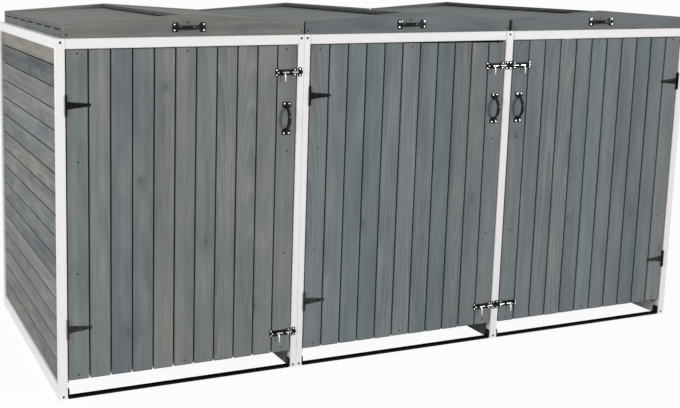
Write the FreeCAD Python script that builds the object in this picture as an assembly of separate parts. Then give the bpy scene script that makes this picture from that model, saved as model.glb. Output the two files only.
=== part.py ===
import FreeCAD, Part
import math
import os

V = FreeCAD.Vector

# Wheelie bin store: three bays side by side, each with a boarded door in front and a
# boarded lid on top, in a painted timber frame. Sizes are in millimetres. While it is
# drawn, X runs from the left outer face, Y from the front faces of the posts and Z from
# the ground. save() moves everything to the part's own origin.

# Frame
depth = 960.0
rail_top = 1140.0
bay_width = 780.0
outer_post = 28.0
pair_post = 22.0
partition_post = 30.0
post_depth = 24.0
rail_height = 32.0
foot_rail_height = 45.0
front_rail_setback = 1.5
arris = 1.5

# Boarded walls
wall_setback = 7.0
wall_board_thick = 12.0
wall_board_pitch = 67.5
wall_board_gap = 3.5
batten_thick = 18.0
batten_width = 40.0
rear_batten_inset = 25.0

# Thresholds
threshold_depth = 22.0
threshold_thick = 6.0
threshold_setback = 2.0
threshold_tab = 32.0
threshold_corner = 7.0

# Doors
boards_per_door = 11
door_board_thick = 16.0
door_board_gap = 4.5
door_side_gap = 4.5
door_top_gap = 2.0
door_bottom = 61.0
door_setback = 1.0
ledge_height = 64.0
ledge_thick = 18.0
ledge_inset = 30.0
ledge_end_distance = 18.0
brace_width = 50.0
brace_clearance = 1.0

# T-hinges of the doors
hinge_barrel_radius = 3.6
hinge_pin_radius = 1.8
hinge_pin_clearance = 0.08
hinge_axis_forward = 3.3
hinge_knuckle_gap = 0.4
strap_length = 78.0
strap_root = 25.0
strap_tip_radius = 4.5
strap_thick = 1.8
leaf_height = 64.0
leaf_depth = 20.0
leaf_thick = 1.6
pin_beyond_barrel = 1.5
strap_hole_radius = 2.0
strap_holes = ((0.22, 0.5), (0.22, -0.5), (0.6, 0.0), (0.9, 0.0))
upper_hinge_below_rail = 203.0
lower_hinge_height = 230.0

# Barrel bolts of the doors
bolt_base_length = 75.0
bolt_base_height = 25.0
bolt_waist_height = 19.0
bolt_flange = 12.0
bolt_plate_thick = 1.5
bolt_edge_distance = 1.5
bolt_rod_radius = 3.2
bolt_bore_clearance = 0.3
bolt_loop_wall = 1.5
bolt_near_loop = 9.0
bolt_rod_lift = 0.5
bolt_tail_inset = 6.0
bolt_draw = 5.0
bolt_tip_clearance = 0.8
lever_radius = 2.2
lever_from_edge = 45.0
lever_reach = 10.0
lever_drop = 16.0
lever_bend = 6.0
lever_angle = 45.0
keeper_inset = 0.5
keeper_thick = 1.2
keeper_height = 30.0
keeper_clearance = 0.7
upper_bolt_below_rail = 122.0
lower_bolt_height = 130.0

# Pull handles
handle_length = 112.0
handle_pad_length = 17.0
handle_pad_width = 30.0
handle_pad_thick = 3.0
handle_neck = 13.0
handle_grip_width = 14.0
handle_grip_thick = 7.0
handle_end_thinning = 0.25
handle_sections = 7
handle_standoff = 25.0
handle_pad_corner = 4.0
door_handle_below_rail = 274.0
lid_handle_above_rail = 29.0

# Lids
lid_side_inset = 24.0
lid_pair_gap = 6.0
lid_partition_gap = 15.0
lid_seat_gap = 0.4
lid_front_setback = 1.0
lid_board_thick = 18.0
lid_end_height = 42.0
lid_peak_height = 69.0
lid_side_height = 26.0
ridge_rise = 14.0
deck_thick = 12.0
deck_boards = 7
deck_board_gap = 2.0
deck_lap = 30.0
deck_lap_clearance = 0.2
rafter_width = 28.0
vent_depth = 4.0
vent_length = 92.0

# Butt hinges of the lids
lid_hinge_length = 60.0
lid_hinge_leaf = 20.0
lid_hinge_from_end = 120.0
lid_hinge_knuckle = 22.0

# Screws that hold the posts to the wall rails
screw_head_radius = 4.0
screw_head_depth = 2.4
screw_shank_radius = 2.0
screw_length = 60.0
screw_below_top = 12.0
screw_above_ground = 10.0

# Flats on round pieces. The store has some sixty small round fittings, so each is drawn
# with just enough flats to read as round.
rod_sides = 10
grip_sides = 8
hinge_sides = 8
lever_sides = 6
pin_sides = 6
screw_sides = 6

# Places that follow from the sizes above
same = 1e-6
bay_count = 3
door_width = bay_width - 2 * door_side_gap
rail_low = rail_top - rail_height
door_top = rail_low - door_top_gap
door_board_width = (door_width - (boards_per_door - 1) * door_board_gap) / boards_per_door
keeper_width = partition_post / 2 - 2 * keeper_inset
bay_x = [
    outer_post,
    outer_post + bay_width + 2 * pair_post,
    outer_post + 2 * bay_width + 2 * pair_post + partition_post,
]
store_width = bay_x[2] + bay_width + outer_post
pair_seam = bay_x[1] - pair_post
partition_x = bay_x[2] - partition_post
hinge_side = [1, 1, -1]
lid_low = rail_top + lid_seat_gap
bolt_axis_out = bolt_plate_thick + bolt_rod_lift + bolt_rod_radius
bolt_rest_tip = door_side_gap + keeper_inset - bolt_tip_clearance
handle_out = handle_standoff + handle_grip_thick / 2

# Name, low side of the post, its width, low side of the boards, side of the battens
walls = [
    ("left", 0.0, outer_post, wall_setback, 1),
    ("pair_left", pair_seam - pair_post, pair_post,
     pair_seam - wall_setback - wall_board_thick, -1),
    ("pair_right", pair_seam, pair_post, pair_seam + wall_setback, 1),
    ("partition", partition_x, partition_post,
     partition_x + (partition_post - wall_board_thick) / 2, 1),
    ("right", store_width - outer_post, outer_post,
     store_width - wall_setback - wall_board_thick, -1),
]

origin_shift = V(-store_width / 2,
                 -(depth + 2 * hinge_barrel_radius + door_setback - handle_out) / 2
                 + door_setback - lid_front_setback, 0)


def save(name, solids):
    """Write one node, moved to the part's origin: bottom centre of its box."""
    group = Part.makeCompound([s.translated(origin_shift) for s in solids])
    group.exportStep("parts/%s.step" % name)


def box(low, high):
    size = V(*high) - V(*low)
    return Part.makeBox(size.x, size.y, size.z, V(*low))


def plank(low, high, along, outside=None):
    """Planed timber between two corners, its long edges eased by a chamfer.

    All four are eased, or only the two on the side that a direction points to.
    """
    solid = box(low, high)
    direction = {"x": V(1, 0, 0), "y": V(0, 1, 0), "z": V(0, 0, 1)}[along]
    edges = [e for e in solid.Edges if e.tangentAt(e.FirstParameter).cross(direction).Length < same]
    if outside is not None:
        edges = [e for e in edges if (e.CenterOfMass - solid.CenterOfMass).dot(outside) > 0]
    return solid.makeChamfer(arris, edges)


def prism(outline, axis, start, length):
    """A straight-sided outline, given across the axis, extruded along it."""
    place = {
        "x": lambda a, b: V(start, a, b),
        "y": lambda a, b: V(a, start, b),
        "z": lambda a, b: V(a, b, start),
    }[axis]
    step = {"x": V(length, 0, 0), "y": V(0, length, 0), "z": V(0, 0, length)}[axis]
    corners = [place(a, b) for a, b in outline]
    return Part.Face(Part.makePolygon(corners + corners[:1])).extrude(step)


def ring(centre, along, across, radius, sides, squeeze=1.0):
    """Closed polygon with its corners on an ellipse about a point, square to a direction."""
    side = along.cross(across).normalize()
    corners = []
    for i in range(sides):
        turn = 2 * math.pi * (i + 0.5) / sides
        reach = across * (squeeze * math.cos(turn)) + side * math.sin(turn)
        corners.append(centre + reach * radius)
    return Part.makePolygon(corners + corners[:1])


def rod(start, end, radius, sides=rod_sides, end_radius=None):
    """Round bar with flats, its corners at the radius; it tapers where its end differs."""
    start = V(*start)
    end = V(*end)
    along = (end - start).normalize()
    across = V(0, 0, 1) if abs(along.z) < 0.5 else V(1, 0, 0)
    first = ring(start, along, across, radius, sides)
    if end_radius is None:
        return Part.Face(first).extrude(end - start)
    return Part.makeLoft([first, ring(end, along, across, end_radius, sides)], True, True)


def bore(start, end, radius, sides=rod_sides):
    """Round hole with flats that all lie outside the radius."""
    return rod(start, end, radius / math.cos(math.pi / sides), sides)


def mirrored(shape):
    return shape.mirror(V(0, 0, 0), V(1, 0, 0))


def board_stack():
    """Low and high edge of each horizontal wall board; the top one is ripped to fit."""
    rows = []
    low = foot_rail_height
    while low < rail_low - wall_board_gap:
        high = min(low + wall_board_pitch - wall_board_gap, rail_low)
        rows.append((low, high))
        low += wall_board_pitch
    return rows


def post_screw(x, z):
    """Countersunk wood screw through a front post, its head flush with the post's face."""
    head = rod((x, 0, z), (x, screw_head_depth, z), screw_head_radius, screw_sides, screw_shank_radius)
    shank = rod((x, screw_head_depth, z), (x, screw_length, z), screw_shank_radius, screw_sides)
    return head.fuse(shank).removeSplitter()


def wall_screws(x, width):
    """Two screws through the front post into the ends of the wall's rails."""
    middle = x + width / 2
    return [post_screw(middle, z) for z in (screw_above_ground, rail_top - screw_below_top)]


def drilled(solid, screws):
    near = [s for s in screws if s.BoundBox.intersect(solid.BoundBox)]
    return solid.cut(near) if near else solid


def frame_posts_and_rails():
    screws = {w[0]: wall_screws(w[1], w[2]) for w in walls}
    rails = {}
    rear_posts = []
    for name, x, width, board_x, side in walls:
        front = plank((x, 0, 0), (x + width, post_depth, rail_top), "z")
        rear = plank((x, depth - post_depth, 0), (x + width, depth, rail_top), "z")
        save("front_post_" + name, [drilled(front, screws[name])])
        rear_posts.append(rear)
        levels = ((0, foot_rail_height), (rail_low, rail_top))
        pair = [plank((x, post_depth, low), (x + width, depth - post_depth, high), "y")
                for low, high in levels]
        group = "pair" if name.startswith("pair") else name
        rails.setdefault(group, []).extend(drilled(r, screws[name]) for r in pair)
    save("rear_posts", rear_posts)
    for group, solids in rails.items():
        save(group + "_wall_rails", solids)
    save("frame_screws", [s for group in screws.values() for s in group])


def front_and_rear_rails():
    rear = []
    for bay, x in enumerate(bay_x):
        front = plank((x, front_rail_setback, rail_low), (x + bay_width, post_depth, rail_top), "x")
        save("front_rail_%d" % (bay + 1), [front])
        for low, high in ((0, foot_rail_height), (rail_low, rail_top)):
            rear.append(plank((x, depth - post_depth, low), (x + bay_width, depth, high), "x"))
    save("rear_rails", rear)


def wall_boards():
    panels = {}
    for name, x, width, board_x, side in walls:
        group = "pair" if name.startswith("pair") else name
        for low, high in board_stack():
            first = (board_x, post_depth, low)
            last = (board_x + wall_board_thick, depth - post_depth, high)
            eased = name in ("left", "right")
            board = plank(first, last, "y", V(-side, 0, 0)) if eased else box(first, last)
            panels.setdefault(group, []).append(board)
    for group, solids in panels.items():
        save(group + "_wall_boards", solids)
    outer = depth - wall_setback
    rear = [box((x, outer - wall_board_thick, low), (x + bay_width, outer, high))
            for x in bay_x for low, high in board_stack()]
    save("rear_wall_boards", rear)


def wall_battens():
    """Upright sawn battens behind the boards: front, middle and back of each wall."""
    battens = []
    centre = depth / 2
    starts = (post_depth, centre - batten_width / 2, depth - post_depth - batten_width)
    for name, x, width, board_x, side in walls:
        low_x = board_x + wall_board_thick if side > 0 else board_x - batten_thick
        for y in starts:
            battens.append(box((low_x, y, foot_rail_height),
                               (low_x + batten_thick, y + batten_width, rail_low)))
    back = depth - wall_setback - wall_board_thick
    for x in bay_x:
        middle = x + (bay_width - batten_width) / 2
        for low_x in (x + rear_batten_inset, middle, x + bay_width - rear_batten_inset - batten_width):
            battens.append(box((low_x, back - batten_thick, foot_rail_height),
                               (low_x + batten_width, back, rail_low)))
    save("wall_battens", battens)


def threshold(x):
    """Flat steel bar on the ground, its two ends bent up against the posts."""
    outline = [
        (x, 0), (x + bay_width, 0), (x + bay_width, threshold_tab),
        (x + bay_width - threshold_thick, threshold_tab),
        (x + bay_width - threshold_thick, threshold_thick),
        (x + threshold_thick, threshold_thick), (x + threshold_thick, threshold_tab), (x, threshold_tab),
    ]
    bar = prism(outline, "y", threshold_setback, threshold_depth)
    tops = [e for e in bar.Edges if min(v.Z for v in e.Vertexes) > threshold_tab - same
            and abs(e.Length - threshold_thick) < same]
    return bar.makeChamfer(threshold_corner, tops)


def door_boards(x):
    pitch = door_board_width + door_board_gap
    left = x + door_side_gap
    back = door_setback + door_board_thick
    return [plank((left + i * pitch, door_setback, door_bottom),
                  (left + i * pitch + door_board_width, back, door_top), "z")
            for i in range(boards_per_door)]


def brace(left, right, low, high, rising):
    """Diagonal between two ledges, cut to their edges."""
    front = door_setback + door_board_thick
    half = brace_width
    if rising:
        outline = [(left, low), (left + half, low), (right, high), (right - half, high)]
    else:
        outline = [(right - half, low), (right, low), (left + half, high), (left, high)]
    return prism(outline, "y", front, ledge_thick)


def door_ledges(x, side):
    left = x + door_side_gap + ledge_inset
    right = x + bay_width - door_side_gap - ledge_inset
    front = door_setback + door_board_thick
    middle = (door_bottom + door_top - ledge_height) / 2
    lows = (door_bottom + ledge_end_distance, middle, door_top - ledge_end_distance - ledge_height)
    ledges = [plank((left, front, z), (right, front + ledge_thick, z + ledge_height), "x") for z in lows]
    braces = [brace(left, right, z + ledge_height + brace_clearance, top - brace_clearance, side < 0)
              for z, top in zip(lows[:2], lows[1:])]
    return ledges + braces


def hinge_strap():
    """Moving half of a T-hinge, drawn about its pin: knuckle and tapered strap with three holes."""
    back = hinge_axis_forward + door_setback
    front = back - strap_thick
    half = strap_root / 2
    centre = strap_length - strap_tip_radius
    turns = [math.pi * (0.5 - i / (rod_sides / 2)) for i in range(rod_sides // 2 + 1)]
    tip = [(centre + strap_tip_radius * math.cos(t), strap_tip_radius * math.sin(t)) for t in turns]
    sheet = prism([(0, -half), (0, half)] + tip, "y", front, strap_thick)
    knuckle = rod((0, 0, -half), (0, 0, half), hinge_barrel_radius, hinge_sides)
    eye = bore((0, 0, -half), (0, 0, half), hinge_pin_radius + hinge_pin_clearance, pin_sides)
    holes = [rod((strap_length * along, front, half * across), (strap_length * along, back, half * across),
                 strap_hole_radius, screw_sides) for along, across in strap_holes]
    return sheet.fuse(knuckle).cut([eye] + holes).removeSplitter()


def hinge_leaf():
    """Fixed half of a T-hinge: a sheet on the post's inner face and two knuckles."""
    half = leaf_height / 2
    inner = strap_root / 2 + hinge_knuckle_gap
    face = -door_side_gap / 2
    sheet = box((face, 0, -half), (face + leaf_thick, hinge_axis_forward + leaf_depth, half))
    clear = hinge_barrel_radius + hinge_knuckle_gap
    notch = box((face, 0, -inner), (face + leaf_thick, clear, inner))
    knuckles = [rod((0, 0, inner), (0, 0, half), hinge_barrel_radius, hinge_sides),
                rod((0, 0, -half), (0, 0, -inner), hinge_barrel_radius, hinge_sides)]
    eye = bore((0, 0, -half), (0, 0, half), hinge_pin_radius + hinge_pin_clearance, pin_sides)
    return sheet.cut(notch).fuse(knuckles).cut(eye).removeSplitter()


def hinge_pin(barrel_length):
    """Straight pin that stands out a little at each end of its barrel."""
    half = barrel_length / 2 + pin_beyond_barrel
    return rod((0, 0, -half), (0, 0, half), hinge_pin_radius, pin_sides)


def bolt_base():
    """Barrel bolt's pressed base: waisted plate and two loops round the rod, open between
    them where the lever runs.

    Drawn from the door's free edge at X 0 and its face at Y 0, for a rod that shoots
    towards +X.
    """
    right = -bolt_edge_distance
    left = right - bolt_base_length
    tall = bolt_base_height / 2
    waist = bolt_waist_height / 2
    outline = [
        (left, -tall), (left + bolt_flange, -tall), (left + bolt_flange, -waist),
        (right - bolt_flange, -waist), (right - bolt_flange, -tall), (right, -tall),
        (right, tall), (right - bolt_flange, tall), (right - bolt_flange, waist),
        (left + bolt_flange, waist), (left + bolt_flange, tall), (left, tall),
    ]
    plate = prism(outline, "y", -bolt_plate_thick, bolt_plate_thick)
    bore_radius = bolt_rod_radius + bolt_bore_clearance
    outer = bore_radius + bolt_loop_wall
    half_gap = lever_radius + bolt_bore_clearance
    tail_end = -lever_from_edge - bolt_draw - half_gap
    near_end = -lever_from_edge + bolt_throw() + half_gap
    loops = []
    for low, high in ((left + bolt_flange, tail_end), (near_end, near_end + bolt_near_loop)):
        loops.append(rod((low, -bolt_axis_out, 0), (high, -bolt_axis_out, 0), outer))
        loops.append(box((low, -bolt_axis_out, -outer), (high, 0, outer)))
    hole = bore((left, -bolt_axis_out, 0), (right, -bolt_axis_out, 0), bore_radius)
    return plate.fuse(loops).cut(hole).removeSplitter()


def bolt_throw():
    """Travel from rest to fully shot, with the tip just inside the far side of the keeper."""
    return bolt_tip_clearance + keeper_width - bolt_tip_clearance / 2


def bolt_rod():
    """Round rod with a lever that leaves it forwards and down and then hangs."""
    tail = -bolt_edge_distance - bolt_base_length + bolt_tail_inset
    bevel = bolt_rod_radius / 3
    bar = rod((tail, -bolt_axis_out, 0), (bolt_rest_tip - bevel, -bolt_axis_out, 0), bolt_rod_radius)
    nose = rod((bolt_rest_tip - bevel, -bolt_axis_out, 0), (bolt_rest_tip, -bolt_axis_out, 0),
               bolt_rod_radius, rod_sides, bolt_rod_radius - bevel)
    slope = math.radians(lever_angle)
    outward = V(0, -math.cos(slope), -math.sin(slope))
    down = V(0, 0, -1)
    start = V(-lever_from_edge, -bolt_axis_out, 0)
    corner = start + outward * lever_reach
    first = corner - outward * lever_bend
    last = corner + down * lever_bend
    half_turn = outward.getAngle(down) / 2
    radius = lever_bend / math.tan(half_turn)
    middle = corner + (down - outward).normalize() * (radius / math.cos(half_turn) - radius)
    stations = [(start, outward), (first, outward), (middle, (outward + down).normalize()),
                (last, down), (last + down * lever_drop, down)]
    lever = Part.makeLoft([ring(point, along, V(1, 0, 0), lever_radius, lever_sides)
                           for point, along in stations], True, True)
    return bar.fuse([nose, lever]).removeSplitter()


def bolt_keeper():
    """Strip bent into an arch with a foot above and below, on the post's face at Y 0."""
    axis = bolt_axis_out - door_setback
    inner = bolt_rod_radius + keeper_clearance
    outer = inner + keeper_thick
    high = keeper_inset + keeper_width
    arch = rod((keeper_inset, -axis, 0), (high, -axis, 0), outer)
    legs = box((keeper_inset, -axis, -outer), (high, 0, outer))
    foot = box((keeper_inset, -keeper_thick, -keeper_height / 2), (high, 0, keeper_height / 2))
    hole = bore((keeper_inset, -axis, 0), (high, -axis, 0), inner)
    mouth = box((keeper_inset, -axis, -inner), (high, 0, inner))
    behind = box((keeper_inset, 0, -outer), (high, outer, outer))
    return foot.fuse([arch, legs]).cut([hole, mouth, behind]).removeSplitter()


def grip_section(share):
    """Oval ring across the bow at a share of its half length, from -1 to 1."""
    half = handle_length / 2 - handle_pad_length
    rise = handle_standoff - handle_pad_thick / 2
    radius = (half * half + rise * rise) / (2 * rise)
    reach = math.asin(half / radius)
    angle = share * reach
    centre = V(radius * math.sin(angle),
               -(handle_standoff - radius + radius * math.cos(angle)), 0)
    along = V(math.cos(angle), math.sin(angle), 0)
    width = handle_grip_width + (handle_neck - handle_grip_width) * share * share
    thick = handle_grip_thick * (1 - handle_end_thinning * share * share)
    return ring(centre, along, along.cross(V(0, 0, 1)), width / 2, grip_sides, thick / width)


def pull_handle():
    """Bow handle along X on a face at Y 0: two fan-shaped pads and an arched grip."""
    steps = handle_sections - 1
    grip = Part.makeLoft([grip_section(2 * i / steps - 1) for i in range(handle_sections)], True, True)
    half = handle_length / 2
    inner = half - handle_pad_length - handle_grip_thick
    outline = [(inner, -handle_neck / 2), (half - handle_pad_length, -handle_neck / 2),
               (half - handle_pad_length / 2, -handle_pad_width / 2), (half, -handle_pad_width / 2),
               (half, handle_pad_width / 2), (half - handle_pad_length / 2, handle_pad_width / 2),
               (half - handle_pad_length, handle_neck / 2), (inner, handle_neck / 2)]
    pad = prism(outline, "y", -handle_pad_thick, handle_pad_thick)
    corners = [e for e in pad.Edges if abs(e.Length - handle_pad_thick) < same
               and min(v.X for v in e.Vertexes) > half - handle_pad_length / 2 - same]
    pad = pad.makeChamfer(handle_pad_corner, corners)
    behind = box((-handle_length, 0, -handle_pad_width), (handle_length, handle_length, handle_pad_width))
    return grip.fuse([pad, mirrored(pad)]).cut(behind).removeSplitter()


def lid_hinge_half(fixed):
    """Half of a butt hinge about its pin along X: the fixed half hangs down, the other stands up."""
    half = lid_hinge_length / 2
    middle = lid_hinge_knuckle / 2
    back = -hinge_barrel_radius
    sign = -1 if fixed else 1
    ends = sorted((0, sign * lid_hinge_leaf))
    sheet = box((-half, back, ends[0]), (half, back + leaf_thick, ends[1]))
    clear = hinge_barrel_radius + hinge_knuckle_gap
    inner = middle + hinge_knuckle_gap
    if fixed:
        spans = [(-half, -inner), (inner, half)]
        voids = [(-inner, inner)]
    else:
        spans = [(-middle, middle)]
        voids = [(-half, -middle), (middle, half)]
    knuckles = [rod((a, 0, 0), (b, 0, 0), hinge_barrel_radius, hinge_sides) for a, b in spans]
    notches = [box((a, back, -clear), (b, back + leaf_thick, clear)) for a, b in voids]
    eye = bore((-half, 0, 0), (half, 0, 0), hinge_pin_radius + hinge_pin_clearance, pin_sides)
    return sheet.cut(notches).fuse(knuckles).cut(eye).removeSplitter()


def lid_span(bay):
    """Left and right outer faces of a lid."""
    lefts = (lid_side_inset, pair_seam + lid_pair_gap / 2,
             partition_x + partition_post / 2 + lid_partition_gap / 2)
    rights = (pair_seam - lid_pair_gap / 2, partition_x + partition_post / 2 - lid_partition_gap / 2,
              store_width - lid_side_inset)
    return lefts[bay], rights[bay]


def gable_board(left, right, y):
    centre = (left + right) / 2
    outline = [(left, lid_low), (right, lid_low), (right, lid_low + lid_end_height),
               (centre, lid_low + lid_peak_height), (left, lid_low + lid_end_height)]
    return prism(outline, "y", y, lid_board_thick)


def deck_rows():
    """Front and back edge of each deck board, between the gable boards."""
    front = lid_front_setback + lid_board_thick
    pitch = (depth - lid_board_thick - front + deck_board_gap) / deck_boards
    return [(front + i * pitch, front + (i + 1) * pitch - deck_board_gap) for i in range(deck_boards)]


def lid_side(x):
    """Side board with a shallow vent notch under each deck board."""
    top = lid_low + lid_side_height
    front = lid_front_setback + lid_board_thick
    side = box((x, front, lid_low), (x + lid_board_thick, depth - lid_board_thick, top))
    notches = [box((x, (a + b - vent_length) / 2, top - vent_depth),
                   (x + lid_board_thick, (a + b + vent_length) / 2, top)) for a, b in deck_rows()]
    return side.cut(notches)


def left_seat(left, right, x):
    """Underside of the deck's left half: level on the side board, then rising to the ridge."""
    inner = left + lid_board_thick
    slope = ridge_rise / ((left + right) / 2 - inner)
    return lid_low + lid_side_height + slope * max(0.0, x - inner)


def lid_frame(left, right):
    centre = (left + right) / 2
    front = lid_front_setback + lid_board_thick
    ends = (centre - rafter_width / 2, centre + rafter_width / 2)
    outline = [(ends[0], lid_low), (ends[1], lid_low), (ends[1], left_seat(left, right, ends[1])),
               (ends[0], left_seat(left, right, ends[0]))]
    rafter = prism(outline, "y", front, depth - lid_board_thick - front)
    return [gable_board(left, right, lid_front_setback), gable_board(left, right, depth - lid_board_thick),
            lid_side(left), lid_side(right - lid_board_thick), rafter]


def lid_deck(left, right):
    """Boards across the lid in two halves: the right half laps over the left one at the ridge."""
    centre = (left + right) / 2
    seat = lid_low + lid_side_height
    inner = left + lid_board_thick
    lap = centre + deck_lap / 2
    lap_low = left_seat(left, right, lap)
    rising = [(left, seat), (inner, seat), (lap, lap_low), (lap, lap_low + deck_thick),
              (inner, seat + deck_thick), (left, seat + deck_thick)]
    turn = right - lid_board_thick
    high = lap_low + deck_thick + deck_lap_clearance
    start = centre - deck_lap / 2
    start_low = high + (high - seat) / (turn - lap) * (lap - start)
    falling = [(start, start_low), (turn, seat), (right, seat), (right, seat + deck_thick),
               (turn, seat + deck_thick), (start, start_low + deck_thick)]
    return [prism(outline, "y", a, b - a) for outline in (rising, falling) for a, b in deck_rows()]


def place_on_door(shape, bay, z):
    """Move a piece drawn about the hinge pin to one end of its bay."""
    side = hinge_side[bay]
    x = bay_x[bay] if side > 0 else bay_x[bay] + bay_width
    part = shape if side > 0 else mirrored(shape)
    return part.translated(V(x + side * door_side_gap / 2, -hinge_axis_forward, z))


def place_at_free_edge(shape, bay, y, z, beyond=0.0):
    """Move a piece drawn from the door's free edge to the end away from the hinges."""
    side = hinge_side[bay]
    edge = bay_x[bay] + (bay_width - door_side_gap if side > 0 else door_side_gap)
    part = shape if side > 0 else mirrored(shape)
    return part.translated(V(edge + side * beyond, y, z))


def doors():
    hinge_heights = (rail_top - upper_hinge_below_rail, lower_hinge_height)
    bolt_heights = (("upper", rail_top - upper_bolt_below_rail), ("lower", lower_bolt_height))
    leaves = []
    pins = []
    keepers = []
    upright = pull_handle()
    upright.rotate(V(0, 0, 0), V(0, 1, 0), 90)
    for bay in range(bay_count):
        door = "door_%d_" % (bay + 1)
        save(door + "boards", door_boards(bay_x[bay]))
        save(door + "ledges", door_ledges(bay_x[bay], hinge_side[bay]))
        save(door + "hinge_straps", [place_on_door(hinge_strap(), bay, z) for z in hinge_heights])
        leaves += [place_on_door(hinge_leaf(), bay, z) for z in hinge_heights]
        pins += [place_on_door(hinge_pin(leaf_height), bay, z) for z in hinge_heights]
        save(door + "bolt_bases", [place_at_free_edge(bolt_base(), bay, door_setback, z)
                                   for level, z in bolt_heights])
        for level, z in bolt_heights:
            save(door + level + "_bolt", [place_at_free_edge(bolt_rod(), bay, door_setback, z)])
            keepers.append(place_at_free_edge(bolt_keeper(), bay, 0, z, door_side_gap))
        pull = upright.translated(V(-door_board_width / 2, 0, 0))
        save(door + "handle", [place_at_free_edge(pull, bay, door_setback,
                                                  rail_top - door_handle_below_rail)])
    save("door_hinge_leaves", leaves)
    save("bolt_keepers", keepers)
    return pins


def lids():
    fixed = []
    pins = []
    for bay in range(bay_count):
        left, right = lid_span(bay)
        lid = "lid_%d_" % (bay + 1)
        save(lid + "frame", lid_frame(left, right))
        save(lid + "deck", lid_deck(left, right))
        pull = pull_handle().translated(V((left + right) / 2, lid_front_setback,
                                          rail_top + lid_handle_above_rail))
        save(lid + "handle", [pull])
        spots = [V(x, depth + hinge_barrel_radius, rail_top + lid_seat_gap / 2)
                 for x in (left + lid_hinge_from_end, right - lid_hinge_from_end)]
        save(lid + "hinge_leaves", [lid_hinge_half(False).translated(s) for s in spots])
        fixed += [lid_hinge_half(True).translated(s) for s in spots]
        pin = hinge_pin(lid_hinge_length)
        pin.rotate(V(0, 0, 0), V(0, 1, 0), 90)
        pins += [pin.translated(s) for s in spots]
    save("lid_hinge_bases", fixed)
    return pins


def build():
    os.makedirs("parts", exist_ok=True)
    frame_posts_and_rails()
    front_and_rear_rails()
    wall_boards()
    wall_battens()
    save("thresholds", [threshold(x) for x in bay_x])
    save("hinge_pins", doors() + lids())


build()
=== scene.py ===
"""Looks of the wheelie bin store: stained boards in a white frame, black hinges and bolts.

Shapes are worked out in millimetres as the store is drawn: X from the left outer face, Y from
the front faces of the posts towards the rear wall, Z from the ground.
"""
import math

import bmesh
import bpy
import numpy as np
from mathutils import Matrix


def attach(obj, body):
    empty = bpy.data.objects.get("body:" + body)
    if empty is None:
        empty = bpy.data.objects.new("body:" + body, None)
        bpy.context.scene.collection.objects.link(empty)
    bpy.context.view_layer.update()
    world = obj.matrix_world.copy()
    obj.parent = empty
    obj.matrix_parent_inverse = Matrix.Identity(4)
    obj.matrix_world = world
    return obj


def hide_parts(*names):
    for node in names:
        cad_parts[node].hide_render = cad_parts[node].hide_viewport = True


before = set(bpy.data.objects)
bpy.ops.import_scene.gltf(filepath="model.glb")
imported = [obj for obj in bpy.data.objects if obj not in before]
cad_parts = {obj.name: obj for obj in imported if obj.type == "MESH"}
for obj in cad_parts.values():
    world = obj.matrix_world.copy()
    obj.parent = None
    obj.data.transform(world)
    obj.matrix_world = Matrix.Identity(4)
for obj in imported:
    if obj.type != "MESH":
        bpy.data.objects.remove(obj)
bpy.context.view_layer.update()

# Sizes, in millimetres
DEPTH = 960.0
RAIL_TOP = 1140.0
BAY = 780.0
POST_DEEP = 24.0
RAIL_TALL = 32.0
FOOT_TALL = 45.0
RAIL_LOW = RAIL_TOP - RAIL_TALL
RAIL_BACK = 1.5
BAY_X = (28.0, 852.0, 1662.0)
SIDE = (1, 1, -1)
ORIGIN = np.array((-1235.0, -469.85, 0.0))

# Name, low side of the post, its width, low side of the boards, side of the battens
WALLS = (
    ("left", 0.0, 28.0, 7.0, 1),
    ("pair_left", 808.0, 22.0, 811.0, -1),
    ("pair_right", 830.0, 22.0, 837.0, 1),
    ("partition", 1632.0, 30.0, 1641.0, 1),
    ("right", 2442.0, 28.0, 2451.0, -1),
)
WALL_BOARD = 12.0
WALL_PITCH = 67.5
WALL_GAP = 3.5
BATTEN_WIDE = 40.0
BATTEN_THICK = 18.0
BATTEN_INSET = 25.0
REAR_BOARDS_INSET = 7.0
REAR_BOARDS_TALLER = 2.0
ARRIS = 1.5

DOOR_GAP = 4.5
DOOR_FACE = 1.0
DOOR_THICK = 16.0
DOOR_LOW = 61.0
DOOR_TOP = RAIL_LOW - 2.0
BOARDS = 11
BOARD_WIDE = (BAY - 2 * DOOR_GAP - (BOARDS - 1) * DOOR_GAP) / BOARDS
LEDGE_TALL = 64.0
LEDGE_THICK = 18.0
LEDGE_END = 18.0
LEDGE_LOWS = (DOOR_LOW + LEDGE_END, (DOOR_LOW + DOOR_TOP - LEDGE_TALL) / 2,
              DOOR_TOP - LEDGE_END - LEDGE_TALL)
LEDGE_INSET = 30.0
BRACE_WIDE = 50.0

# Height of each hinge of a door, and how dusty it is
HINGES = ((RAIL_TOP - 203, 0.0), (230.0, 1.0))
HINGE_OUT = 3.3
HINGE_BACK = 3.6
BARREL = 3.3
HINGE_PIN = 1.8
PIN_PROUD = 1.5
KNUCKLE = 12.5
STRAP_LONG = 78.0
STRAP_THICK = 1.8
LEAF_THICK = 1.6
LEAF_HALF = 32.0
BUTT_HALF = 30.0
BUTT_INSET = 120.0
BOLT_Z = (("upper", RAIL_TOP - 122), ("lower", 130.0))
ROD = 3.2
PLATE_THICK = 1.5
ROD_OUT = PLATE_THICK + 0.5 + ROD
LEVER = 2.4
HANDLE_Z = RAIL_TOP - 274
LID_HANDLE_Z = RAIL_TOP + 29

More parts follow.
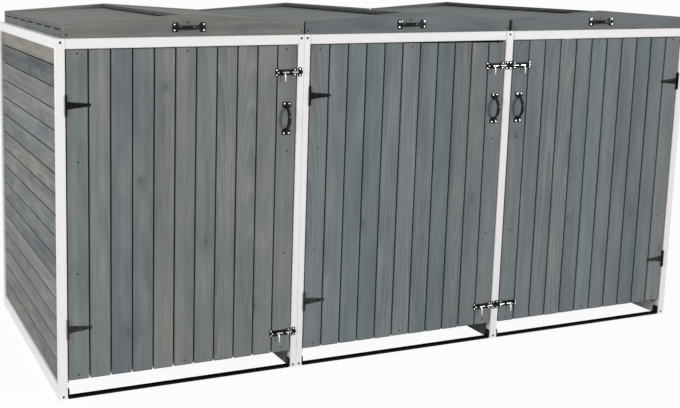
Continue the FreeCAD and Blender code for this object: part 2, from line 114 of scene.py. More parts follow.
LID_LOW = RAIL_TOP + 0.4
LID_BOARD = 18.0
LID_SPANS = ((24.0, 827.0), (833.0, 1639.5), (1654.5, 2446.0))
LID_SEAT = LID_LOW + 26.0
GABLE_EAVES = 42.0
GABLE_PEAK = 69.0
VENT_HALF = 46.0
VENT_DEEP = 4.0
RIDGE_RISE = 14.0
DECK_THICK = 12.0
DECK_ROWS = 7
DECK_GAP = 2.0
RIDGE_LAP = 15.0
RAFTER_HALF = 14.0

# Screw heads: radius and height, then sides and the depth of the cross where they differ
WOOD_SCREW = (3.2, 0.5)
POST_SCREW = (4.2, 0.7)
STRAP_SCREW = (2.6, 1.0)
LEAF_SCREW = (2.2, 0.5)
BUTT_SCREW = (2.6, 0.8)
BRIGHT_SCREW = (2.7, 1.2, 12, 0.5)
HANDLE_SCREW = (3.1, 1.5, 12, 0.6)


def shown(name, data):
    """A new object in the scene."""
    made = bpy.data.objects.new(name, data)
    bpy.context.scene.collection.objects.link(made)
    return made


class Piece:
    """Surfaces gathered into one mesh, with what each point carries for its finish.

    grain is the place inside the board, in metres: along the fibres, across the face, out of it.
    lot is a random triple that each board keeps to itself. tint is (light, warm, figure).
    wear is (arris, end, dust); end also carries painted shade on the ends of the lids' deck boards.
    """

    keys = ("grain", "lot", "tint", "wear")

    def __init__(self):
        self.points = []
        self.faces = []
        self.kept = {key: [] for key in self.keys}
        self.total = 0

    def add(self, rings, **given):
        """Quads between each closed ring of points and the next, and a flat face on each end.

        Point (i, j) joins (i, j + 1) and (i + 1, j), where j wraps round the ring.
        """
        rows, around = rings.shape[:2]
        i, j = np.meshgrid(np.arange(rows - 1), np.arange(around), indexing="ij")
        a = i * around + j
        b = i * around + (j + 1) % around
        quads = np.stack([a, b, b + around, a + around], -1).reshape(-1, 4) + self.total
        self.faces += quads.tolist()
        ring = np.arange(around) + self.total
        self.faces += [ring[::-1].tolist(), (ring + (rows - 1) * around).tolist()]
        self.points.append(rings.reshape(-1, 3))
        for key in self.keys:
            value = np.asarray(given.get(key, (0, 0, 0)), float)
            self.kept[key].append(np.broadcast_to(value, rings.shape).reshape(-1, 3))
        self.total += rows * around

    def finish(self, name, finish, body, replaces=(), crease=38.0):
        """The mesh in the CAD part's frame, in metres, facing outwards, with its finish and body."""
        material, slot = finish
        mesh = bpy.data.meshes.new(name)
        points = (np.vstack(self.points) + ORIGIN) / 1000
        mesh.from_pydata(points.tolist(), [], self.faces)
        for key, values in self.kept.items():
            layer = mesh.attributes.new(key, "FLOAT_VECTOR", "POINT")
            layer.data.foreach_set("vector", np.vstack(values).astype(np.float32).ravel())
        shell = bmesh.new()
        shell.from_mesh(mesh)
        bmesh.ops.recalc_face_normals(shell, faces=shell.faces)
        shell.to_mesh(mesh)
        shell.free()
        mesh.shade_smooth()
        mesh.set_sharp_from_angle(angle=math.radians(crease))
        mesh.materials.append(material)
        piece = shown(name, mesh)
        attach(piece, body)
        if replaces:
            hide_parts(*replaces)


def moved(points, origin, side=1, upright=False):
    """Points drawn about a local origin: mirrored left to right, turned upright, then moved."""
    points = np.asarray(points, float) * (side, 1.0, 1.0)
    if upright:
        points = points[..., ::-1]
    return points + origin


def eased_rectangle(wide, tall, radius):
    """Rectangle with cut corners, and a point beside each cut so that the faces stay flat.

    A corner's points are the cut's two ends, a radius from the corner, and one on each side: four
    radii along the width, two and a half along the height, or a quarter of the side if that is less.
    """
    u, v = wide / 2, tall / 2
    inner_u, inner_v = max(u - 4 * radius, u / 2), max(v - 2.5 * radius, v / 2)
    quarter = np.array([(u, inner_v), (u, v - radius), (u - radius, v), (inner_u, v)])
    flip = quarter[::-1] * (-1, 1)
    half = np.vstack([quarter, flip])
    return np.vstack([half, -half])


EASED_WEAR = np.tile([0.0, 1.0, 1.0, 0.0], 4)


def circle(radius, sides):
    """Points at equal angles on a circle: radius times (cosine, sine)."""
    turn = 2 * math.pi * np.arange(sides) / sides
    return radius * np.stack([np.cos(turn), np.sin(turn)], -1)


def swept(profile, path, across):
    """A profile carried along a path: path + u * across + v * normal.

    The normal is the path's tangent turned a quarter about the direction across. The profile is
    one (n, 2) outline or one for each point of the path.
    """
    path = np.asarray(path, float)
    across = np.asarray(across, float)
    tangent = np.gradient(path, axis=0)
    tangent /= np.linalg.norm(tangent, axis=1, keepdims=True)
    normal = np.cross(tangent, across)
    profile = np.broadcast_to(profile, (len(path),) + profile.shape[-2:])
    return path[:, None] + profile[..., :1] * across + profile[..., 1:] * normal[:, None]


def mirrored(along, half):
    """Outline from its half widths: out along one side and back along the other."""
    return np.vstack([np.stack([along, -half], -1), np.stack([along, half], -1)[::-1]])


def inset(outline, amount):
    """A closed outline moved inwards: each corner slides along the mean of its two edge normals."""
    step = np.roll(outline, -1, 0) - outline
    step /= np.linalg.norm(step, axis=1, keepdims=True)
    normal = np.stack([-step[:, 1], step[:, 0]], -1)
    before = np.roll(normal, 1, 0)
    share = 1 + (normal * before).sum(1, keepdims=True)
    x, y = outline.T
    turn = np.sign((x * np.roll(y, -1) - np.roll(x, -1) * y).sum())
    return outline + turn * amount * (normal + before) / np.maximum(share, 0.3)


def sheet(outline, back, front, ease, place=lambda u, v, height: (u, height, v)):
    """A plate: its outline carried from its back to its front, where a quarter round eases it.

    At angle t of the quarter the outline is inset by ease * (1 - cos t) and stands ease * (1 - sin t)
    behind the front. place turns (u, v, height) into a point, and as given the plate faces the front.
    """
    turns = np.linspace(0, math.pi / 2, 4)
    insets = np.concatenate([[0], ease * (1 - np.cos(turns))])
    heights = np.concatenate([[back], front - math.copysign(ease, front - back) * (1 - np.sin(turns))])
    rings = [place(*inset(outline, i).T, np.full(len(outline), h)) for i, h in zip(insets, heights)]
    return np.stack([np.stack(r, -1) for r in rings])


def plank(piece, low, high, along, lot, tint, rise=None, arris=ARRIS, ends=1.0):
    """Planed timber between two corners: an eased rectangle carried along it.

    The last 0.9 mm at each end shrinks, so that the ends are eased too, and ends says how much
    darker the last 6 mm get. rise gives places along X and how far the board is lifted there, with
    straight lines in between.
    """
    ease, stain = 0.9, 6.0
    low, high = np.asarray(low, float), np.asarray(high, float)
    run = "xyz".index(along)
    others = [k for k in range(3) if k != run]
    wide, thin = sorted(others, key=lambda k: low[k] - high[k])
    size = high - low
    stations = [0, ease, stain, size[run] - stain, size[run] - ease, size[run]]
    if rise is not None:
        stations = sorted(stations + [x - low[0] for x in rise[0] if low[0] + 7 < x < high[0] - 7])
    stations = np.array(stations)
    profile = eased_rectangle(size[wide], size[thin], arris)
    near_end = np.minimum(stations, stations[-1] - stations)
    shrink = 1 - 0.7 * (near_end < 0.5)[:, None, None] / (size[[wide, thin]] / 2)
    section = profile * shrink
    rings = np.zeros((len(stations), len(profile), 3)) + (low + high) / 2
    rings[..., run] = low[run] + stations[:, None]
    rings[..., wide] += section[..., 0]
    rings[..., thin] += section[..., 1]
    if rise is not None:
        rings[..., 2] += np.interp(low[0] + stations, *rise)[:, None]
    grain = np.stack([np.broadcast_to(stations[:, None], section.shape[:2]), section[..., 0],
                      section[..., 1]], -1) / 1000
    wear = np.zeros_like(rings)
    wear[..., 0] = EASED_WEAR
    wear[..., 1] = ends * np.clip(1 - near_end / stain, 0, 1)[:, None]
    piece.add(rings, grain=grain, lot=lot, tint=tint, wear=wear)


def sawn_shape(piece, outline, axis, start, thick, lot, tint, ease=1.0):
    """Board sawn to an outline: rings from one face to the other, eased at both edges.

    In each face the outline is inset by 4 mm and then by the easing, and it is full in between.
    The fibres run along the outline's first direction.
    """
    outline = np.asarray(outline, float)
    steps = ((4.0, 0.0, 0), (ease, 0.0, 1), (0.0, ease, 1), (0.0, thick / 2, 0),
             (0.0, thick - ease, 1), (ease, thick, 1), (4.0, thick, 0))
    rings, grain, wear = [], [], []
    middle = (outline.min(0) + outline.max(0)) / 2
    for shrink, depth, arris in steps:
        flat = inset(outline, shrink)
        level = np.full(len(flat), start + depth)
        order = {"x": (level, flat[:, 0], flat[:, 1]), "y": (flat[:, 0], level, flat[:, 1])}[axis]
        rings.append(np.stack(order, -1))
        grain.append(np.column_stack([flat - middle, np.full(len(flat), depth - thick / 2)]) / 1000)
        wear.append(np.broadcast_to((arris, 0.0, 0.0), (len(flat), 3)))
    piece.add(np.stack(rings), grain=np.stack(grain), lot=lot, tint=tint, wear=np.stack(wear))


def screw(piece, spot, radius, proud, sides=8, cross=0.45, outward=(0, -1, 0)):
    """Domed screw head: height proud * sqrt(1 - r^2), less a cross recess near the middle.

    The recess is deepest on every other spoke of the grid, which makes the driver's cross.
    """
    out = np.asarray(outward, float)
    first = np.array((1.0, 0, 0)) if abs(out[0]) < 0.5 else np.array((0, 1.0, 0))
    second = np.cross(out, first)
    shares = np.array([1.0, 0.97, 0.78, 0.5, 0.2])
    turn = 2 * math.pi * (np.arange(sides) + 0.5 * (sides < 12)) / sides
    height = proud * np.sqrt(np.maximum(1 - shares ** 2, 0))[:, None] + 0 * turn
    spokes = (np.arange(sides) % max(sides // 4, 2) == 0)
    height[3] -= cross * spokes
    height[4] -= cross * 1.1
    height[0] -= 0.25
    spread = radius * shares[:, None]
    rings = (np.asarray(spot, float) + spread[..., None] * (
        np.cos(turn)[:, None] * first + np.sin(turn)[:, None] * second) + height[..., None] * out)
    piece.add(rings)


def pin(piece, spot, start, end, radius, sides=16, ease=0.5, **carry):
    """Round bar from start to end, both as seen from the spot: circles, smaller at both ends."""
    start, end = np.add(spot, start), np.add(spot, end)
    run = end - start
    length = np.linalg.norm(run)
    along = run / length
    across = np.array((0, 0, 1.0)) if abs(along[2]) < 0.5 else np.array((1.0, 0, 0))
    steps = np.array([0, ease, length - ease, length])
    radii = radius - ease * np.array([1, 0, 0, 1])
    profile = circle(1.0, sides) * radii[:, None, None]
    piece.add(swept(profile, start + along * steps[:, None], across), **carry)


def widened(strip, widths):
    """A strip's profile for each point of a path: its width times the one given there."""
    return strip * np.stack([widths, np.ones(len(widths))], -1)[:, None]


def operator(name):
    """Two methods that add a Math node, for a Shade on the left and on the right of the sign."""
    return (lambda self, other: self.finish.math(name, self, other),
            lambda self, other: self.finish.math(name, other, self))


class Shade:
    """One output of a shader node. Arithmetic on it adds Math nodes."""

    __add__, __radd__ = operator("ADD")
    __sub__, __rsub__ = operator("SUBTRACT")
    __mul__, __rmul__ = operator("MULTIPLY")

    def __init__(self, finish, socket):
        self.finish = finish
        self.socket = socket

    def between(self, low, high):
        """0 up to low and 1 from high on, smooth in between; low may be the larger."""
        return self.finish.node("ShaderNodeMapRange", {"interpolation_type": "SMOOTHSTEP"},
                                {0: self, 1: low, 2: high, 3: 0.0, 4: 1.0})


class Finish:
    """A material or world under construction. node() adds any node and gives back one output."""

    def __init__(self, name, world=None):
        self.material = world or bpy.data.materials.new(name)
        self.material.use_nodes = True
        self.tree = self.material.node_tree
        self.tree.nodes.clear()

    def node(self, kind, settings=None, inputs=None, output=0):
        """A node of a type, its settings set first, then the values or links of its sockets."""
        made = self.tree.nodes.new(kind)
        for key, value in (settings or {}).items():
            setattr(made, key, value)
        for key, value in (inputs or {}).items():
            if isinstance(value, Shade):
                self.tree.links.new(value.socket, made.inputs[key])
            else:
                made.inputs[key].default_value = value
        return Shade(self, made.outputs[output]) if made.outputs else None

    def math(self, operation, *values):
        return self.node("ShaderNodeMath", {"operation": operation}, dict(enumerate(values)))

    def kept(self, *keys):
        """What the points of the pieces carry under these names."""
        return [self.node("ShaderNodeAttribute", {"attribute_name": key}, output="Vector")
                for key in keys]

    def outputs(self, shade, *names):
        """Other outputs of the node that a Shade comes from."""
        return [Shade(self, shade.socket.node.outputs[name]) for name in names]

    def parts(self, vector):
        return self.outputs(self.node("ShaderNodeSeparateXYZ", None, {0: vector}), "X", "Y", "Z")

    def vector(self, operation, *values, scale=None):
        inputs = dict(enumerate(values))
        if scale is not None:
            inputs["Scale"] = scale
        return self.node("ShaderNodeVectorMath", {"operation": operation}, inputs)

    def noise(self, where, stretch, detail=2.0, rough=0.5):
        """Soft noise from 0 to 1. Its cells are 1 m over the stretch long in each direction."""
        spread = self.vector("MULTIPLY", where, stretch)
        return self.node("ShaderNodeTexNoise", None,
                         {"Vector": spread, "Scale": 1.0, "Detail": detail, "Roughness": rough})

    def cloud(self, *kind):
        """Noise with harder edges, from -0.5 to 0.5."""
        return self.noise(*kind).between(0.3, 0.7) - 0.5

    def place(self):
        """Object coordinates, which are the part's own frame in metres."""
        return self.node("ShaderNodeTexCoord", output="Object")

    def mix(self, share, first, second):
        return self.node("ShaderNodeMix", {"data_type": "RGBA"}, {0: share, 6: first, 7: second},
                         output=2)

    def bump(self, height, strength, distance):
        return self.node("ShaderNodeBump", None,
                         {"Height": height, "Strength": strength, "Distance": distance})

    def surface(self, **inputs):
        """Ends the material in a Principled shader with these sockets."""
        made = self.node("ShaderNodeBsdfPrincipled", None,
                         {key.replace("_", " "): value for key, value in inputs.items()})
        self.node("ShaderNodeOutputMaterial", None, {"Surface": made})
        return self.material

    def seen_directly(self):
        """1 for what the camera, a mirror or glass sees, and 0 for the light that falls on things."""
        rays = self.node("ShaderNodeLightPath")
        camera, glossy, through = self.outputs(rays, "Is Camera Ray", "Is Glossy Ray",
                                               "Is Transmission Ray")
        return self.math("MAXIMUM", self.math("MAXIMUM", camera, glossy), through)


# How far a board's lot moves it in the noise, in metres, so that no two boards share their grain
LOT_SPREAD = (37.0, 23.0, 11.0)


def stained_timber(name, cool, middle, warm, depth=1.0, drift=1.0):
    """Thin stain on planed softwood.

    Growth rings are circles about a pith that lies behind the board and wanders and tapers along
    it, so the face shows arches, the edges lines and the ends arcs. Over them go fine fibres,
    broad streaks, patches of thicker stain and a few knots that push the rings aside, and each
    board has a shade of its own. depth scales how much lighter and darker all this gets, and drift
    how far it strays between the cool and the warm colour.
    """
    f = Finish(name)
    grain, lot, tint, wear = f.kept(*Piece.keys)
    along, across, out = f.parts(grain)
    lot_x, lot_y, lot_z = f.parts(lot)
    light, warmth, figure = f.parts(tint)
    arris, end, _ = f.parts(wear)
    spot = f.vector("MULTIPLY_ADD", lot, LOT_SPREAD, grain)

    knots = f.node("ShaderNodeTexVoronoi", {"voronoi_dimensions": "2D"},
                   {"Vector": f.vector("MULTIPLY", spot, (5.0, 9.0, 0.0)), "Scale": 1.0})
    chance = f.parts(f.outputs(knots, "Color")[0])[0].between(0.85, 0.88)
    knot = knots.between(0.08, 0.03) * chance
    halo = knots.between(0.26, 0.05) * chance
    swell = knots.between(0.5, 0.0) * chance

    wander = f.noise(spot, (1.3, 5.0, 5.0)) - 0.5
    waver = f.noise(spot, (4.5, 14.0, 14.0)) - 0.5
    pith_across = (lot_x - 0.5) * 0.085 + wander * 0.03
    taper = (lot_z - 0.5) * (0.06 + figure * 0.11)
    pith_behind = 0.010 + lot_y * 0.045 + along * taper + waver * 0.004
    from_across = across - pith_across
    from_out = out + pith_behind
    radius = f.math("SQRT", from_across * from_across + from_out * from_out) + swell * 0.006
    phase = f.math("FRACT", radius * (185.0 - figure * 115.0) + lot_x * 7.0)
    late = phase.between(0.3, 0.9) * phase.between(1.0, 0.93)
    pale = phase.between(0.0, 0.06) * phase.between(0.24, 0.1) * figure

    fibre = f.noise(spot, (7.0, 900.0, 900.0), 3.0, 0.6)
    streak = f.noise(spot, (1.0, 60.0, 60.0), 2.0)
    band = f.cloud(spot, (0.7, 21.0, 21.0), 1.0)
    patch = f.cloud(spot, (3.4, 12.0, 12.0), 3.0, 0.6)
    blotch = f.cloud(f.vector("ADD", spot, (5.0, 3.0, 1.0)), (6.5, 30.0, 30.0), 2.0, 0.6)
    fleck = f.noise(spot, (26.0, 160.0, 160.0), 2.0).between(0.66, 0.74)
    draw = f.node("ShaderNodeCombineXYZ", None, {1: lot_y * 40.0})
    own = f.node("ShaderNodeTexWhiteNoise", {"noise_dimensions": "2D"}, {"Vector": draw}) - 0.5

    hue = warmth + (patch * 0.30 + blotch * 0.22 + band * 0.18 + own * 0.16) * drift + figure * 0.05
    colour = f.mix((hue * 2.0).between(0.0, 1.0), cool, middle)
    colour = f.mix((hue * 2.0 - 1.0).between(0.0, 1.0), colour, warm)
    shift = ((streak - 0.5) * 0.42 + band * 0.08 + (fibre - 0.5) * 0.26 + patch * 0.17 + blotch * 0.12
             + own * 0.13 - late * (figure * 0.16 + 0.05) + pale * 0.20 - fleck * 0.10)
    level = (1.0 + light * 0.20 + shift * depth + arris * 0.05) * (1.0 - end * 0.16)
    colour = f.vector("SCALE", colour, scale=level)
    colour = f.mix(halo * 0.35, colour, (0.070, 0.078, 0.080, 1.0))
    colour = f.mix(knot * 0.5, colour, (0.052, 0.052, 0.050, 1.0))
    colour = f.mix(arris * lot_z.between(0.3, 0.7) * 0.45, colour, (0.130, 0.112, 0.082, 1.0))
    height = fibre * 0.5 + late * 0.35 - knot * 0.3 + streak * 0.3
    return f.surface(Base_Color=colour, Roughness=0.60 + fibre * 0.16 - late * 0.05,
                     Normal=f.bump(height, 0.35, 0.0006))


def white_paint(name):
    """Brushed white paint: a hint of the fibres, faint brush lines, greyer arrises and ends."""
    f = Finish(name)
    grain, lot, wear = f.kept("grain", "lot", "wear")
    arris, end, _ = f.parts(wear)
    spot = f.vector("MULTIPLY_ADD", lot, LOT_SPREAD, grain)
    fibre = f.noise(spot, (5.0, 420.0, 420.0), 3.0, 0.55)
    brush = f.noise(spot, (2.0, 130.0, 130.0), 2.0)
    patch = f.noise(spot, (5.0, 22.0, 22.0), 2.0)
    level = 1.0 + (fibre - 0.5) * 0.045 + (patch - 0.5) * 0.05 - arris * 0.02 - end * 0.03
    colour = f.mix(patch.between(0.35, 0.75), (0.870, 0.842, 0.852, 1.0), (0.862, 0.846, 0.835, 1.0))
    colour = f.vector("SCALE", colour, scale=level)
    return f.surface(Base_Color=colour, Roughness=0.42 + (brush - 0.5) * 0.2,
                     Normal=f.bump(brush * 0.6 + fibre * 0.4, 0.25, 0.0005))


def black_coat(name):
    """Satin black powder coat: fine orange peel, with pale dust where a piece carries it."""
    f = Finish(name)
    place = f.place()
    dust = f.parts(*f.kept("wear"))[2]
    peel = f.noise(place, (900.0, 900.0, 900.0), 1.0)
    cloud = f.noise(place, (60.0, 60.0, 60.0), 3.0, 0.6)
    dirt = dust * cloud.between(0.2, 0.7)
    colour = f.mix(dirt, (0.0045, 0.0055, 0.006, 1.0), (0.048, 0.053, 0.043, 1.0))
    return f.surface(Base_Color=colour, Roughness=0.36 + cloud * 0.12 + dirt * 0.2,
                     Normal=f.bump(peel, 0.12, 0.0003), Specular_IOR_Level=0.06)


def black_enamel(name):
    """Gloss black stove enamel, a little uneven, so that its highlights break up slightly."""
    f = Finish(name)
    place = f.place()
    cloud = f.noise(place, (140.0, 140.0, 140.0), 2.0)
    colour = f.mix(cloud, (0.002, 0.0025, 0.003, 1.0), (0.005, 0.006, 0.007, 1.0))
    return f.surface(Base_Color=colour, Roughness=0.12 + cloud * 0.08,
                     Normal=f.bump(cloud, 0.08, 0.0006), Specular_IOR_Level=0.18)


def plated(name, bright, dull, low, high):
    """Plated steel with duller clouds, and drawn lines from a low to a high roughness."""
    f = Finish(name)
    place = f.place()
    cloud = f.noise(place, (220.0, 220.0, 220.0), 3.0, 0.6)
    drawn = f.noise(place, (90.0, 1500.0, 1500.0), 2.0)
    colour = f.mix(cloud.between(0.4, 0.75), bright, dull)
    return f.surface(Base_Color=colour, Metallic=1.0, Roughness=low + (high - low) * drawn,
                     Normal=f.bump(drawn, 0.08, 0.0002))


# Each finish, and the slot of the part's record that it dresses
SINGLE = (stained_timber("stain_single_bay", (0.130, 0.153, 0.164, 1), (0.154, 0.168, 0.164, 1),
                         (0.178, 0.182, 0.160, 1), depth=1.1), "stained_board")
OUTER = (stained_timber("stain_left_wall", (0.122, 0.143, 0.154, 1), (0.160, 0.170, 0.163, 1),
                        (0.196, 0.185, 0.162, 1), depth=1.9, drift=1.1), "stained_board")
DOUBLE = (stained_timber("stain_double_bay", (0.122, 0.152, 0.162, 1), (0.146, 0.163, 0.171, 1),
                         (0.176, 0.175, 0.158, 1), depth=1.05), "stained_board")
INNER = (stained_timber("stain_battens", (0.150, 0.165, 0.168, 1), (0.175, 0.180, 0.165, 1),
                        (0.240, 0.215, 0.170, 1)), "stained_batten")
WHITE = (white_paint("white_paint"), "white_timber")
COAT = (black_coat("black_powder_coat"), "black_steel")
ENAMEL = (black_enamel("black_enamel"), "black_gloss")
ZINC = (plated("bright_zinc", (0.80, 0.80, 0.79, 1), (0.62, 0.62, 0.60, 1), 0.16, 0.30),
        "bright_zinc")
BOLT = (plated("drawn_bolt_steel", (0.48, 0.48, 0.48, 1), (0.17, 0.17, 0.165, 1), 0.14, 0.30),
        "bright_zinc")
SCREW = (plated("dark_screw", (0.022, 0.021, 0.020, 1), (0.012, 0.011, 0.010, 1), 0.38, 0.60),
         "dark_screw")


def tints(chance, warm, spread=0.16):
    """A board's own (light, warm, figure): mostly plain, now and then a strongly figured one."""
    return np.array((chance.normal(0, 0.3), np.clip(chance.normal(warm, spread), 0, 1),
                     chance.random() ** 2.2))


def group_of(wall):
    """Which nodes a wall belongs to: the two walls between bays 1 and 2 share theirs."""
    return wall.split("_")[0]


def plain_piece(node, finish, boxes, along, seed, warm=0.4, arris=ARRIS, light=0.0, name=None):
    """Straight planks of one node of the frame, each with its own lot and tint."""
    chance = np.random.default_rng(seed)
    piece = Piece()
    for low, high in boxes:
        tint = tints(chance, warm) + (light, 0, 0)
        plank(piece, low, high, along, chance.random(3), tint, arris=arris)
    piece.finish(name or node + "_timber", finish, "frame", [node])


# How light the stained rails are: the pair's a lighter tone, the partition's far darker, which is
# painted shade inside the store
RAIL_TONE_AND_SHADE = {"pair": 0.9, "partition": -3.0}


def white_frame():
    """Posts and rails of the frame. The rails of the walls between bays are stained, and the
    partition's are darkened further as painted shade.
    """
    heights = ((0, FOOT_TALL), (RAIL_LOW, RAIL_TOP))
    back = DEPTH - POST_DEEP
    posts, rails = [], {}
    for k, (name, x, wide, _, _) in enumerate(WALLS):
        front = ((x, 0, 0), (x + wide, POST_DEEP, RAIL_TOP))
        plain_piece("front_post_" + name, WHITE, [front], "z", 10 + k)
        posts.append(((x, back, 0), (x + wide, DEPTH, RAIL_TOP)))
        for low, high in heights:
            rails.setdefault(group_of(name), []).append(((x, POST_DEEP, low), (x + wide, back, high)))
    plain_piece("rear_posts", WHITE, posts, "z", 20)
    for k, (group, boxes) in enumerate(rails.items()):
        # The partition's rails get a far darker tint: painted shade
        plain_piece(group + "_wall_rails", DOUBLE if group in RAIL_TONE_AND_SHADE else WHITE, boxes, "y",
                    30 + k, warm=0.0, light=RAIL_TONE_AND_SHADE.get(group, 0.0))
    for bay, x in enumerate(BAY_X):
        front = ((x, RAIL_BACK, RAIL_LOW), (x + BAY, POST_DEEP, RAIL_TOP))
        plain_piece("front_rail_%d" % (bay + 1), WHITE, [front], "x", 40 + bay)
    rear = [((x, back, low), (x + BAY, DEPTH, high)) for x in BAY_X for low, high in heights]
    plain_piece("rear_rails", WHITE, rear, "x", 50)


def board_rows():
    """Low and high edge of each wall board; the top one is ripped to fit under the rail."""
    lows = np.arange(FOOT_TALL, RAIL_LOW - WALL_GAP, WALL_PITCH)
    return [(low, min(low + WALL_PITCH - WALL_GAP, RAIL_LOW)) for low in lows]


# Left wall's boards, from the ground up: (light, warm, figure)
LEFT_WALL = (
    (-0.2, 0.65, 0.4), (0.1, 0.6, 0.3), (-0.1, 0.45, 0.4), (-0.2, 0.25, 0.3),
    (0.1, 0.55, 0.4), (-0.3, 0.2, 0.3), (0.0, 0.4, 0.5), (-0.3, 0.15, 0.3),
    (0.0, 0.6, 0.5), (0.2, 0.6, 0.5), (-0.2, 0.1, 0.3), (-0.2, 0.15, 0.3),
    (0.0, 0.55, 0.2), (0.1, 0.5, 0.3), (-2.5, -0.1, 0.3), (0.3, 1.1, 0.2),
)


def wall_boarding():
    """Boards and battens of the five walls and the rear wall, whose joints are closer."""
    groups = {}
    for name, _, _, board_x, _ in WALLS:
        groups.setdefault(group_of(name), []).append(board_x)
    for k, (group, places) in enumerate(groups.items()):
        chance = np.random.default_rng(60 + k)
        piece = Piece()
        for board_x in places:
            for row, (low, high) in enumerate(board_rows()):
                tint = tints(chance, 0.45, 0.2) + (0.3, 0, 0)
                if group == "left":
                    tint = LEFT_WALL[row]
                low += 0.5 * chance.random()
                high -= 0.5 * chance.random()
                plank(piece, (board_x, POST_DEEP, low), (board_x + WALL_BOARD, DEPTH - POST_DEEP, high),
                      "y", chance.random(3), tint)
        piece.finish(group + "_wall_planking", OUTER if group == "left" else DOUBLE, "frame",
                     [group + "_wall_boards"])
    outer = DEPTH - REAR_BOARDS_INSET
    back = outer - WALL_BOARD
    rear = [((x, back, low), (x + BAY, outer, min(high + REAR_BOARDS_TALLER, RAIL_LOW)))
            for x in BAY_X for low, high in board_rows()]
    plain_piece("rear_wall_boards", DOUBLE, rear, "x", 70, name="rear_wall_planking")

    battens = []
    for _, _, _, board_x, side in WALLS:
        x = board_x + WALL_BOARD if side > 0 else board_x - BATTEN_THICK
        for y in (POST_DEEP, (DEPTH - BATTEN_WIDE) / 2, DEPTH - POST_DEEP - BATTEN_WIDE):
            battens.append(((x, y, FOOT_TALL), (x + BATTEN_THICK, y + BATTEN_WIDE, RAIL_LOW)))
    room = BAY - BATTEN_WIDE
    for bay_x in BAY_X:
        for x in (bay_x + BATTEN_INSET, bay_x + room / 2, bay_x + room - BATTEN_INSET):
            battens.append(((x, back - BATTEN_THICK, FOOT_TALL), (x + BATTEN_WIDE, back, RAIL_LOW)))
    plain_piece("wall_battens", INNER, battens, "z", 71, arris=0.6)


# Boards that stand out, from the left: (light, warm, figure)
DOOR_TINTS = (
    {0: (0.0, 0.3, 0.2), 1: (0.2, 0.42, 0.3), 2: (-0.3, 0.15, 0.1), 3: (0.0, 0.2, 0.2),
     4: (0.05, 0.55, 0.3), 5: (-0.1, 0.5, 0.2), 6: (0.0, 0.25, 0.3), 7: (0.1, 0.5, 0.8),
     8: (0.1, 0.5, 0.65), 9: (0.2, 0.55, 0.4), 10: (0.0, 0.5, 0.2)},
    {1: (0.0, 0.3, 0.6), 3: (-0.4, 0.1, 0.1), 5: (0.2, 0.35, 0.9), 7: (-0.2, 0.15, 0.2)},
    {0: (-0.1, 0.3, 0.1), 1: (-0.3, 0.1, 0.1), 2: (0.1, 0.42, 1.0), 3: (0.1, 0.4, 1.0),
     4: (0.0, 0.2, 0.5), 6: (0.05, 0.25, 0.3), 8: (-0.35, 0.1, 0.1), 9: (-0.35, 0.1, 0.1),
     10: (0.1, 0.45, 0.2)},
)
# How far each door's top drops from one board to the next, from its fourth board on
DOOR_SAG = (0.0, 0.75, 0.0)


def free_edge(bay):
    """X of a door's free edge, which carries its bolts and handle."""
    return BAY_X[bay] + (BAY - DOOR_GAP if SIDE[bay] > 0 else DOOR_GAP)


def hinge_line(bay):
    """X of a door's hinge pins, in the middle of the gap beside its post."""
    return BAY_X[bay] + (DOOR_GAP / 2 if SIDE[bay] > 0 else BAY - DOOR_GAP / 2)


def board_left(bay, i):
    """X of the left edge of a door's board."""
    return BAY_X[bay] + DOOR_GAP + i * (BOARD_WIDE + DOOR_GAP)


def door_timber(bay):
    """Eleven boards of a door, and the three ledges and two braces behind them."""
    chance = np.random.default_rng(80 + bay)
    piece = Piece()
    for i in range(BOARDS):
        left = board_left(bay, i)
        right = left + BOARD_WIDE
        tint = DOOR_TINTS[bay].get(i, tints(chance, 0.3 if bay else 0.4))
        ends = chance.random(4) * (0.6, 0.6, 0.8, 1.2) + (0, 0, DOOR_SAG[bay] * max(i - 3, 0), 0)
        plank(piece, (left + ends[0] * (i > 0), DOOR_FACE, DOOR_LOW + ends[3]),
              (right - ends[1] * (i < BOARDS - 1), DOOR_FACE + DOOR_THICK, DOOR_TOP - ends[2]),
              "z", chance.random(3), tint)
    body = "door_%d" % (bay + 1)
    piece.finish(body + "_planking", DOUBLE if bay else SINGLE, body, [body + "_boards"])

    piece = Piece()
    left = BAY_X[bay] + DOOR_GAP + LEDGE_INSET
    right = BAY_X[bay] + BAY - DOOR_GAP - LEDGE_INSET
    front = DOOR_FACE + DOOR_THICK
    for z in LEDGE_LOWS:
        plank(piece, (left, front, z), (right, front + LEDGE_THICK, z + LEDGE_TALL), "x",
              chance.random(3), tints(chance, 0.5))
    a, b = left + BRACE_WIDE, right - BRACE_WIDE
    for z, top in zip(LEDGE_LOWS[:2], LEDGE_LOWS[1:]):
        low, high = z + LEDGE_TALL + 1, top - 1
        outline = [(left, low), (a, low), (right, high), (b, high)]
        if SIDE[bay] > 0:
            outline = [(b, low), (right, low), (a, high), (left, high)]
        sawn_shape(piece, outline, "y", front, LEDGE_THICK, chance.random(3), tints(chance, 0.5))
    piece.finish(body + "_ledges_timber", INNER, body, [body + "_ledges"])


def deck_rows():
    """Front and back edge of each deck board, between the gable boards."""
    front = 1.0 + LID_BOARD
    pitch = (DEPTH - LID_BOARD - front + DECK_GAP) / DECK_ROWS
    return [(front + i * pitch, front + (i + 1) * pitch - DECK_GAP) for i in range(DECK_ROWS)]


def notched_side():
    """Outline of a lid's side board over (y, z): a strip with a vent notch under each deck board."""
    rows = np.array(deck_rows()).mean(1)[::-1]
    notch = [(VENT_HALF, 0), (VENT_HALF, -VENT_DEEP), (-VENT_HALF, -VENT_DEEP), (-VENT_HALF, 0)]
    teeth = (np.stack([rows, np.full(len(rows), LID_SEAT)], -1)[:, None] + notch).reshape(-1, 2)
    front, back = 2.6 + LID_BOARD, DEPTH - LID_BOARD
    return np.vstack([(front, LID_LOW), (back, LID_LOW), (back, LID_SEAT), teeth, (front, LID_SEAT)])
